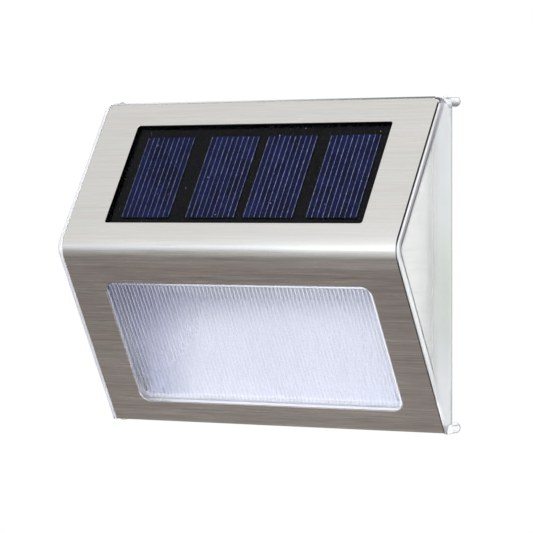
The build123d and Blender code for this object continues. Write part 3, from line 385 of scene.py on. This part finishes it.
def make_panel():
    board = Mat("panel_board_black", Specular_IOR_Level=0.08)
    board.colour(board.ramp(board.noise(420.0, 4.0, 0.6), (0.3, (0.0016, 0.0018, 0.0022)), (0.7, (0.0034, 0.0037, 0.0044))))
    board.rough(board.remap(board.noise(240.0, 2.0), 0.3, 0.7, 0.16, 0.24))
    board.bump(board.noise(300.0, 2.0), 0.05, 0.00003)
    keep("panel_black", board)

    cell = Mat("solar_cell_blue", Specular_IOR_Level=0.075)
    grain = cell.cells(330.0, stretch=(1.0, 0.8, 0.8), out="Color")
    tone = cell.add("ShaderNodeSeparateColor")
    cell.put(grain, tone.inputs["Color"])
    cloud = cell.noise(95.0, 3.0, 0.5)
    both = cell.math("ADD", cell.math("MULTIPLY", tone.outputs["Red"], 0.35), cell.math("MULTIPLY", cloud, 0.65))
    blue = cell.ramp(both, (0.25, (0.0018, 0.0030, 0.0165)), (0.55, (0.0036, 0.0058, 0.034)), (0.85, (0.0075, 0.0110, 0.060)))
    down = cell.math("SUBTRACT", L_UP * MM, cell.along(U_UP))
    inside = cell.math("MULTIPLY", cell.remap(down, 0.0121, 0.0122, 0.0, 1.0), cell.remap(down, 0.0413, 0.0414, 1.0, 0.0))
    cell.colour(cell.mix(inside, (0.0022, 0.0024, 0.003), blue))
    cell.rough(cell.remap(tone.outputs["Green"], 0.0, 1.0, 0.16, 0.26))
    cell.bump(grain, 0.05, 0.00002)
    keep("solar_cell", cell)

    resin = Mat("panel_resin_clear", IOR=1.03)
    resin.p.inputs["Transmission Weight"].default_value = 1.0
    wave = resin.noise(48.0, 2.0, 0.5)
    resin.colour(resin.ramp(wave, (0.3, (0.955, 0.96, 0.97)), (0.7, (0.985, 0.985, 0.99))))
    resin.rough(resin.remap(resin.noise(300.0, 3.0), 0.3, 0.7, 0.02, 0.06))
    resin.bump(wave, 0.05, 0.0003)
    keep("panel_resin", resin)

    finger = Mat("cell_finger_silver", Metallic=0.15)
    bead = finger.noise(1500.0, 3.0, 0.7)
    silver = finger.ramp(bead, (0.3, (0.040, 0.050, 0.11)), (0.5, (0.170, 0.195, 0.325)), (0.72, (0.50, 0.55, 0.72)))
    # painted shade: the fingers darker towards one end
    painted_finger_shade = finger.ramp(finger.remap(finger.axis("X"), -0.045, 0.045, 0.0, 1.0), (0.0, (0.52, 0.54, 0.60)), (0.28, (0.62, 0.64, 0.68)), (0.6, (0.86, 0.87, 0.88)))
    finger.colour(finger.mix(1.0, silver, painted_finger_shade, "MULTIPLY"))
    finger.rough(finger.remap(bead, 0.3, 0.7, 0.55, 0.35))
    finger.bump(bead, 0.3, 0.00001)
    keep("finger", finger)

    fleck = Mat("panel_fleck")
    fleck.colour(fleck.ramp(fleck.noise(5000.0, 2.0), (0.3, (0.45, 0.46, 0.48)), (0.7, (0.85, 0.85, 0.86))))
    fleck.rough(fleck.remap(fleck.noise(7000.0, 2.0), 0.3, 0.7, 0.4, 0.7))
    keep("fleck", fleck)


def make_reflector():
    """White inner chassis: matt, with faint drawn lines along Y on its cheeks, cooler inside the light trough, with
    painted shade on the cheeks and in the trough and painted light on the trough's rear wall.
    """
    m = Mat("reflector_white", Specular_IOR_Level=0.4)
    lines = m.noise(1.0, 4.0, 0.6, (60.0, 22.0, 900.0))
    cloud = m.noise(34.0, 3.0, 0.5)
    tone = m.ramp(lines, (0.32, (0.83, 0.835, 0.80)), (0.5, (0.935, 0.94, 0.915)), (0.7, (0.975, 0.975, 0.96)))
    tone = m.mix(m.remap(cloud, 0.3, 0.7, 0.0, 0.3), tone, (0.94, 0.94, 0.925))
    # painted shade: the cheeks darker towards the rear around mid height
    dim = m.math("MULTIPLY", m.remap(m.axis("Y"), -0.023, -0.0095, 0.0, 0.75, True), m.remap(m.math("ABSOLUTE", m.math("ADD", m.axis("Z"), 0.002)), 0.010, 0.023, 1.0, 0.0, True))
    tone = m.mix(dim, tone, (0.70, 0.72, 0.70))
    trough_tone_and_shade = m.ramp(cloud, (0.3, (0.82, 0.845, 0.915)), (0.7, (0.865, 0.89, 0.94)))
    wide = m.math("ABSOLUTE", m.axis("X"))
    level = m.math("SUBTRACT", m.axis("Z"), m.remap(m.axis("X"), -0.032, 0.012, -0.0012, 0.0037))
    # painted shade: the trough darker towards its top, towards one side and on its side walls
    trough_tone_and_shade = m.mix(m.remap(level, -0.021, -0.003, 0.0, 1.0, True), trough_tone_and_shade, (0.25, 0.255, 0.40))
    trough_tone_and_shade = m.mix(m.math("MULTIPLY", m.remap(m.axis("X"), -0.0465, -0.025, 0.78, 0.0, True), m.remap(m.axis("Z"), -0.038, -0.018, 0.7, 1.0)), trough_tone_and_shade, (0.475, 0.485, 0.79), "MULTIPLY")
    trough_tone_and_shade = m.mix(m.remap(wide, 0.0460, 0.0469, 0.0, 1.0), trough_tone_and_shade, m.mix(m.remap(m.axis("Z"), -0.020, -0.006, 0.0, 1.0), (0.25, 0.26, 0.45), (0.13, 0.13, 0.22)))
    m.colour(m.mix(m.remap(wide, 0.0485, 0.0505, 1.0, 0.0), tone, trough_tone_and_shade))
    # painted light: the trough's rear wall emits light, most low down and towards one side, with a faint blue emission
    # where that fades
    painted_trough_light = m.math("MULTIPLY", m.remap(level, -0.024, -0.004, 1.0, 0.0, True), m.remap(m.axis("X"), -0.0466, -0.020, 0.14, 1.0, True))
    painted_trough_light = m.mix(painted_trough_light, (0.0, 0.002, 0.034), m.ramp(cloud, (0.3, (0.325, 0.33, 0.354)), (0.7, (0.345, 0.35, 0.374))))
    m.put(m.mix(m.remap(wide, 0.0455, 0.0468, 0.0, 1.0), painted_trough_light, (0.0, 0.0, 0.0)), m.p.inputs["Emission Color"])
    m.p.inputs["Emission Strength"].default_value = 1.0
    m.rough(m.remap(lines, 0.3, 0.7, 0.38, 0.52))
    m.bump(lines, 0.15, 0.00003)
    return keep("reflector", m)


make_steel()
make_clear()
make_lens()
make_panel()
make_reflector()
moulded("cover_plastic", (0.80, 0.835, 0.825), (0.86, 0.885, 0.88), (0.42, 0.58), 2300.0, 0.00004, 60.0)
metal("screw_steel", (0.50, 0.50, 0.50), (0.63, 0.62, 0.61), (0.2, 0.4), (1, 1, 1), 1800.0, 0.00001)
moulded("knob_black", (0.030, 0.030, 0.032), (0.050, 0.050, 0.053), (0.35, 0.5), 5200.0, 0.00001, 400.0)

# ------------------------------------------------------------------ materials of the pieces inside
moulded("seal_rubber", (0.84, 0.845, 0.86), (0.90, 0.905, 0.915), (0.5, 0.7), 1500.0, 0.00003, 120.0)
lit = moulded("seal_lit", (0.84, 0.85, 0.87), (0.90, 0.91, 0.925), (0.5, 0.7), 1500.0, 0.00003, 120.0)
lit_tone = lit.p.inputs["Base Color"].links[0].from_socket
# painted shade: the seal darker and bluer towards one end
lit.colour(lit.mix(lit.math("MULTIPLY", lit.remap(lit.axis("X"), -0.0462, -0.040, 0.85, 0.0, True), lit.remap(lit.axis("Z"), -0.0420, -0.034, 0.6, 1.0, True)), lit_tone, (0.36, 0.365, 0.46)))
# painted light: the seal's lower part emits light, less towards that end
lit_low = lit.math("MULTIPLY", lit.remap(lit.axis("Z"), -0.0395, -0.036, 1.0, 0.0, True), lit.remap(lit.axis("X"), -0.046, -0.030, 0.3, 1.0, True))
lit.put(lit.mix(lit_low, (0.0, 0.0, 0.0), lit.ramp(lit.noise(120.0, 3.0), (0.3, (0.38, 0.385, 0.40)), (0.7, (0.42, 0.425, 0.44)))), lit.p.inputs["Emission Color"])
lit.p.inputs["Emission Strength"].default_value = 1.0
moulded("adhesive", (0.60, 0.59, 0.55), (0.72, 0.71, 0.67), (0.3, 0.6), 700.0, 0.00002, 200.0)
moulded("black_plastic", (0.014, 0.014, 0.015), (0.026, 0.026, 0.028), (0.4, 0.6), 2600.0, 0.00003, 160.0)
metal("nickel", (0.62, 0.60, 0.56), (0.72, 0.70, 0.66), (0.18, 0.32), (1, 1, 6), 700.0)
metal("cell_can", (0.58, 0.57, 0.55), (0.70, 0.69, 0.67), (0.2, 0.34), (0.2, 1, 1), 900.0)
moulded("cell_sleeve", (0.03, 0.10, 0.07), (0.045, 0.135, 0.095), (0.2, 0.34), 900.0, 0.00002, 70.0)
moulded("wire_red", (0.36, 0.018, 0.014), (0.50, 0.03, 0.022), (0.32, 0.48), 1800.0, 0.00002, 260.0)
moulded("wire_black", (0.012, 0.012, 0.012), (0.03, 0.03, 0.032), (0.32, 0.48), 1800.0, 0.00002, 260.0)


def make_foam():
    m = Mat("foam_tape_white", Specular_IOR_Level=0.2)
    pore = m.cells(1900.0)
    m.colour(m.ramp(pore, (0.1, (0.50, 0.50, 0.48)), (0.6, (0.78, 0.78, 0.76))))
    m.rough(m.remap(m.noise(300.0), 0.3, 0.7, 0.75, 0.95))
    m.bump(pore, 0.5, 0.0001)
    keep("foam_tape", m)


def make_boards():
    for slot, base, trace in (
        ("board_green", ((0.012, 0.085, 0.03), (0.02, 0.12, 0.045)), (0.03, 0.20, 0.075)),
        ("board_white", ((0.72, 0.73, 0.72), (0.80, 0.81, 0.80)), (0.62, 0.64, 0.60)),
    ):
        m = Mat(slot + "_mask")
        track = m.cells(420.0, "DISTANCE_TO_EDGE", randomness=0.35)
        cloud = m.ramp(m.noise(180.0, 3.0), (0.3, base[0]), (0.7, base[1]))
        m.colour(m.mix(m.remap(track, 0.05, 0.09, 1.0, 0.0), cloud, trace))
        m.rough(m.remap(m.noise(700.0), 0.3, 0.7, 0.25, 0.4))
        m.bump(m.remap(track, 0.04, 0.1, 1.0, 0.0), 0.4, 0.00003)
        keep(slot, m)


def make_led():
    """White package with a yellow phosphor dome, told apart by distance from each chip's centre."""
    m = Mat("led_package")
    gaps = [m.vmath("DISTANCE", m.shifted((1, 1, 0)), (x * MM, -0.021, 0.0), "Value") for x in (-26.0, 0.0, 26.0)]
    near = m.math("MINIMUM", m.math("MINIMUM", gaps[0], gaps[1]), gaps[2])
    speck = m.noise(2400.0, 3.0)
    dome = m.ramp(speck, (0.3, (0.72, 0.52, 0.06)), (0.7, (0.86, 0.66, 0.11)))
    case = m.ramp(speck, (0.3, (0.76, 0.76, 0.73)), (0.7, (0.84, 0.84, 0.82)))
    m.colour(m.mix(m.remap(near, 0.00188, 0.00194, 0.0, 1.0), dome, case))
    m.rough(m.remap(speck, 0.3, 0.7, 0.25, 0.45))
    m.bump(speck, 0.15, 0.00001)
    keep("led", m)


def make_chips():
    chip = Mat("chip_epoxy")
    far = chip.math("ABSOLUTE", chip.math("SUBTRACT", chip.axis("Z"), 0.0006))
    leg = chip.remap(far, 0.00101, 0.00103, 0.0, 1.0)
    grit = chip.noise(4200.0, 3.0)
    body = chip.ramp(grit, (0.3, (0.014, 0.014, 0.015)), (0.7, (0.03, 0.03, 0.031)))
    tin = chip.ramp(grit, (0.3, (0.55, 0.55, 0.54)), (0.7, (0.68, 0.68, 0.67)))
    chip.colour(chip.mix(leg, body, tin))
    chip.put(leg, chip.p.inputs["Metallic"])
    chip.rough(chip.remap(grit, 0.3, 0.7, 0.45, 0.6))
    chip.bump(grit, 0.3, 0.00001)
    keep("chip", chip)

    coil = Mat("inductor_body")
    along = coil.math("ABSOLUTE", coil.math("SUBTRACT", coil.axis("X"), 0.0075))
    leg = coil.remap(along, 0.00272, 0.00276, 0.0, 1.0)
    band = coil.remap(coil.math("SINE", coil.math("MULTIPLY", coil.axis("X"), 5200.0)), 0.55, 0.75, 0.0, 1.0)
    grit = coil.noise(2600.0, 3.0)
    body = coil.mix(band, coil.ramp(grit, (0.3, (0.05, 0.20, 0.14)), (0.7, (0.08, 0.27, 0.19))), (0.30, 0.16, 0.05))
    tin = coil.ramp(grit, (0.3, (0.55, 0.55, 0.54)), (0.7, (0.68, 0.68, 0.67)))
    coil.colour(coil.mix(leg, body, tin))
    coil.put(leg, coil.p.inputs["Metallic"])
    coil.rough(coil.remap(grit, 0.3, 0.7, 0.3, 0.45))
    coil.bump(grit, 0.25, 0.00002)
    keep("coil", coil)

    cap = Mat("capacitor_ceramic")
    end = cap.remap(cap.math("ABSOLUTE", cap.axis("X")), 0.00105, 0.0011, 0.0, 1.0)
    grit = cap.noise(3300.0, 3.0)
    body = cap.ramp(grit, (0.3, (0.42, 0.30, 0.18)), (0.7, (0.53, 0.39, 0.25)))
    tin = cap.ramp(grit, (0.3, (0.55, 0.55, 0.54)), (0.7, (0.70, 0.70, 0.69)))
    cap.colour(cap.mix(end, body, tin))
    cap.put(end, cap.p.inputs["Metallic"])
    cap.rough(cap.remap(grit, 0.3, 0.7, 0.3, 0.5))
    cap.bump(grit, 0.2, 0.00001)
    keep("ceramic", cap)


make_foam()
make_boards()
make_led()
make_chips()

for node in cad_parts.values():
    for s in node.material_slots:
        s.material = MATS[s.material.name]


# ------------------------------------------------------------------ added pieces
def new_piece(name, bm, finish):
    me = bpy.data.meshes.new(name)
    bm.normal_update()
    bm.to_mesh(me)
    bm.free()
    o = bpy.data.objects.new(name, me)
    scene.collection.objects.link(o)
    me.materials.append(MATS[finish])
    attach(o, "light")
    return o


CELL_X = (-32.1, -8.8, 11.6, 33.45)
CELL_S0, CELL_S1 = 11.9, 41.6
CELL_DEPTH = 1.5
random.seed(7)


def add_fingers():
    """Printed silver fingers on each solar cell: thin strips of slightly uneven width."""
    bm = bmesh.new()
    steps = 44
    for cx in CELL_X:
        for i in range(10):
            x0 = cx + (i - 4.5) * 1.868
            rings = []
            for k in range(steps + 1):
                s = CELL_S0 + 0.5 + (CELL_S1 - CELL_S0 - 0.85) * k / steps
                w = 0.072 * random.uniform(0.7, 1.3)
                top = CELL_DEPTH - 0.03
                low = CELL_DEPTH - 0.002
                rings.append([bm.verts.new(on_panel(x, s, d)) for x, d in (
                    (x0 - w, low), (x0 + w, low), (x0 + w * 0.8, top), (x0 - w * 0.8, top))])
            for a, b in zip(rings, rings[1:]):
                for j in range(4):
                    bm.faces.new((a[j], a[(j + 1) % 4], b[(j + 1) % 4], b[j]))
            bm.faces.new(rings[0][::-1])
            bm.faces.new(rings[-1])
    bmesh.ops.recalc_face_normals(bm, faces=bm.faces)
    return new_piece("cell_fingers", bm, "finger")


def add_flecks():
    """A few pale specks of grit caught in the panel's resin surface."""
    bm = bmesh.new()
    for _ in range(16):
        x, s = random.uniform(-43.5, 43.5), random.uniform(9.5, 43.0)
        r = random.uniform(0.07, 0.15)
        c = on_panel(x, s, 1.0)
        got = bmesh.ops.create_icosphere(bm, subdivisions=1, radius=r * MM)
        for v in got["verts"]:
            v.co = Vector((v.co.x * random.uniform(0.7, 1.4), v.co.y * random.uniform(0.7, 1.3), v.co.z * random.uniform(0.5, 0.9))) + c
    return new_piece("panel_flecks", bm, "fleck")


def rounded(w, s0, s1, r, steps=6):
    """Outline of a rounded rectangle on the upper slope, as (x, s) points."""
    pts = []
    for cx, cs, a0 in ((w / 2 - r, s1 - r, 0), (-w / 2 + r, s1 - r, 90), (-w / 2 + r, s0 + r, 180), (w / 2 - r, s0 + r, 270)):
        for k in range(steps + 1):
            a = math.radians(a0 + 90 * k / steps)
            pts.append((cx + r * math.cos(a), cs + r * math.sin(a)))
    return pts


def add_resin():
    """Clear resin poured over the cells: one block with a rounded top edge, reaching just into the board."""
    bm = bmesh.new()
    rings = []
    for inset, depth in ((0.0, 1.85), (0.0, 1.2), (0.03, 1.1), (0.09, 1.03), (0.18, 1.0)):
        rings.append([
            bm.verts.new(on_panel(x, s, depth))
            for x, s in rounded(93.6 - 2 * inset, 7.0 + inset, 45.5 - inset, 0.8 - inset)
        ])
    n = len(rings[0])
    for a, b in zip(rings, rings[1:]):
        for j in range(n):
            bm.faces.new((a[j], a[(j + 1) % n], b[(j + 1) % n], b[j]))
    bm.faces.new(rings[0][::-1])
    bm.faces.new(rings[-1])
    bmesh.ops.recalc_face_normals(bm, faces=bm.faces)
    o = new_piece("panel_resin_block", bm, "panel_resin")
    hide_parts("panel_resin")
    return o


def on_lens(x, s, depth):
    """A point on the lower slope: x across, s below the fold, depth below the rim. In metres."""
    y = FOLD[0] + U_LO[0] * s - N_LO[0] * depth
    z = FOLD[1] + U_LO[1] * s - N_LO[1] * depth
    return Vector((x, y, z)) * MM


def ring_piece(name, finish, node, place, outer, inner, levels, steps=8):
    """A flat ring between two rounded rectangles, with a softened edge, for seals."""
    bm = bmesh.new()
    rows = []
    for grow, level in levels:
        w, s0, s1, r, cx = outer
        rows.append([bm.verts.new(place(cx + x, s, level)) for x, s in rounded(w + 2 * grow, s0 - grow, s1 + grow, r + grow, steps)])
    for grow, level in reversed(levels):
        w, s0, s1, r, cx = inner
        rows.append([bm.verts.new(place(cx + x, s, level)) for x, s in rounded(w - 2 * grow, s0 + grow, s1 - grow, r - grow, steps)])
    rows.append(rows[0])
    n = len(rows[0])
    for a, b in zip(rows, rows[1:]):
        for j in range(n):
            bm.faces.new((a[j], a[(j + 1) % n], b[(j + 1) % n], b[j]))
    bmesh.ops.recalc_face_normals(bm, faces=bm.faces)
    o = new_piece(name, bm, finish)
    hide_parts(node)
    return o


def add_seals():
    ring_piece(
        "lens_seal_ring", "seal_lit", "lens_seal", on_lens,
        (97.9, 10.85, 58.05, 3.7, 0.3), (92.8, 13.4, 53.7, 3.0, 0.3),
        ((-0.04, 1.975), (0.0, 2.01), (0.0, 2.19), (-0.04, 2.225)),
    )
    ring_piece(
        "back_gasket_ring", "seal_rubber", "back_gasket", lambda x, s, y: Vector((x, y, s)) * MM,
        (118.3, -42.35, 48.55, 7.3, 0.0), (117.1, -41.55, 47.75, 6.7, 0.0),
        ((-0.05, -4.17), (0.0, -4.1), (0.0, -3.6), (-0.05, -3.53)),
    )


add_resin()
add_seals()
add_fingers()
add_flecks()


# ------------------------------------------------------------------ floor, light and camera
def add_floor():
    bm = bmesh.new()
    bmesh.ops.create_grid(bm, x_segments=12, y_segments=12, size=1.0)
    me = bpy.data.meshes.new("floor")
    bm.to_mesh(me)
    bm.free()
    o = bpy.data.objects.new("floor", me)
    o.location = (0, 0, -0.25)
    scene.collection.objects.link(o)
    m = Mat("floor_pale", Specular_IOR_Level=0.2)
    m.colour(m.ramp(m.noise(6.0, 4.0, 0.5), (0.3, (0.80, 0.80, 0.79)), (0.7, (0.84, 0.84, 0.83))))
    m.rough(m.remap(m.noise(40.0), 0.3, 0.7, 0.7, 0.9))
    me.materials.append(m.m)
    o.visible_glossy = False


add_floor()


def make_world():
    """Soft studio surround: white above and level, a dim table tone below, a soft bank of light ahead."""
    w = bpy.data.worlds.new("studio")
    scene.world = w
    w.use_nodes = True
    t = w.node_tree
    t.nodes.clear()
    out = t.nodes.new("ShaderNodeOutputWorld")
    bg = t.nodes.new("ShaderNodeBackground")
    t.links.new(bg.outputs["Background"], out.inputs["Surface"])
    way = t.nodes.new("ShaderNodeTexCoord").outputs["Generated"]

    def span(value, lo, hi, a, b):
        n = t.nodes.new("ShaderNodeMapRange")
        n.interpolation_type = "SMOOTHSTEP"
        t.links.new(value, n.inputs["Value"])
        for k, v in zip(("From Min", "From Max", "To Min", "To Max"), (lo, hi, a, b)):
            n.inputs[k].default_value = v
        return n.outputs["Result"]

    def mix(fac, a, b, blend="MIX"):
        n = t.nodes.new("ShaderNodeMix")
        n.data_type = "RGBA"
        n.blend_type = blend
        for v, s in ((fac, n.inputs["Factor"]), (a, n.inputs[6]), (b, n.inputs[7])):
            if isinstance(v, bpy.types.NodeSocket):
                t.links.new(v, s)
            else:
                s.default_value = v
        return n.outputs[2]

    def lobe(direction, inner, outer, colour):
        d = Vector(direction).normalized()
        n = t.nodes.new("ShaderNodeVectorMath")
        n.operation = "DOT_PRODUCT"
        t.links.new(way, n.inputs[0])
        n.inputs[1].default_value = d
        f = span(n.outputs["Value"], math.cos(math.radians(outer)), math.cos(math.radians(inner)), 0.0, 1.0)
        return mix(f, (0, 0, 0, 1), (*colour, 1.0))

    def calc(op, a, b):
        n = t.nodes.new("ShaderNodeMath")
        n.operation = op
        for v, k in ((a, n.inputs[0]), (b, n.inputs[1])):
            if isinstance(v, bpy.types.NodeSocket):
                t.links.new(v, k)
            else:
                k.default_value = v
        return n.outputs["Value"]

    sep = t.nodes.new("ShaderNodeSeparateXYZ")
    t.links.new(way, sep.inputs["Vector"])
    # the dim table lies in front, and drops away behind
    height = calc("ADD", sep.outputs["Z"], span(sep.outputs["Y"], -0.15, 0.4, 0.0, 0.3))
    table = mix(span(height, -0.64, -0.40, 0.0, 1.0), (0.262, 0.242, 0.233, 1.0), (0.455, 0.445, 0.43, 1.0))
    base = mix(span(height, -0.215, -0.045, 0.0, 1.0), table, (1.0, 1.005, 1.01, 1.0))
    for direction, inner, outer, colour in (
        ((-0.298, -0.944, 0.14), 9.5, 17.5, (1.03, 1.08, 1.15)),
        ((-0.53, -0.848, 0.04), 4, 15, (0.0, 0.075, 0.14)),
        ((-0.08, -0.86, 0.50), 12, 31, (0.62, 0.65, 0.67)),
        ((-0.30, -0.55, 0.78), 8, 19, (0.16, 0.165, 0.17)),
        ((-0.25, -0.88, -0.40), 10, 17, (0.70, 0.71, 0.71)),
        ((-0.2, -0.15, -1.0), 5, 38, (0.20, 0.19, 0.186)),
        ((0.55, -0.78, -0.30), 15, 42, (1.9, 1.93, 1.96)),
        ((0.93, -0.25, -0.06), 10, 28, (3.8, 3.82, 3.83)),
    ):
        base = mix(1.0, base, lobe(direction, inner, outer, colour), "ADD")
    total = base
    t.links.new(total, bg.inputs["Color"])
    bg.inputs["Strength"].default_value = 1.0


make_world()


def add_camera():
    az, el, roll = math.radians(31.1756), math.radians(1.3169), math.radians(-0.0852)
    right = Vector((math.cos(az), math.sin(az), 0.0))
    back = Vector((math.sin(az) * math.cos(el), -math.cos(az) * math.cos(el), math.sin(el)))
    target = Vector((0.0, -10.07, 0.0)) + right * 1.383 + Vector((0.0, 0.0, -0.8145))
    pos = target + back * 875.48
    up = right.cross(-back)
    r2 = right * math.cos(roll) + up * math.sin(roll)
    u2 = -right * math.sin(roll) + up * math.cos(roll)
    cam = bpy.data.cameras.new("camera")
    cam.sensor_width = 36.0
    cam.lens = 36.0 * 2873.0 / 533.0
    cam.clip_start, cam.clip_end = 0.01, 20.0
    o = bpy.data.objects.new("camera", cam)
    m = Matrix((r2, u2, back)).transposed().to_4x4()
    m.translation = pos * MM
    o.matrix_world = m
    scene.collection.objects.link(o)
    scene.camera = o


add_camera()

scene.view_settings.view_transform = "Standard"
scene.view_settings.look = "None"
scene.view_settings.exposure = 0.0
scene.view_settings.gamma = 1.0
scene.cycles.use_denoising = True
scene.cycles.max_bounces = 32
scene.cycles.diffuse_bounces = 8
scene.cycles.glossy_bounces = 24
scene.cycles.transmission_bounces = 24
scene.cycles.transparent_max_bounces = 16
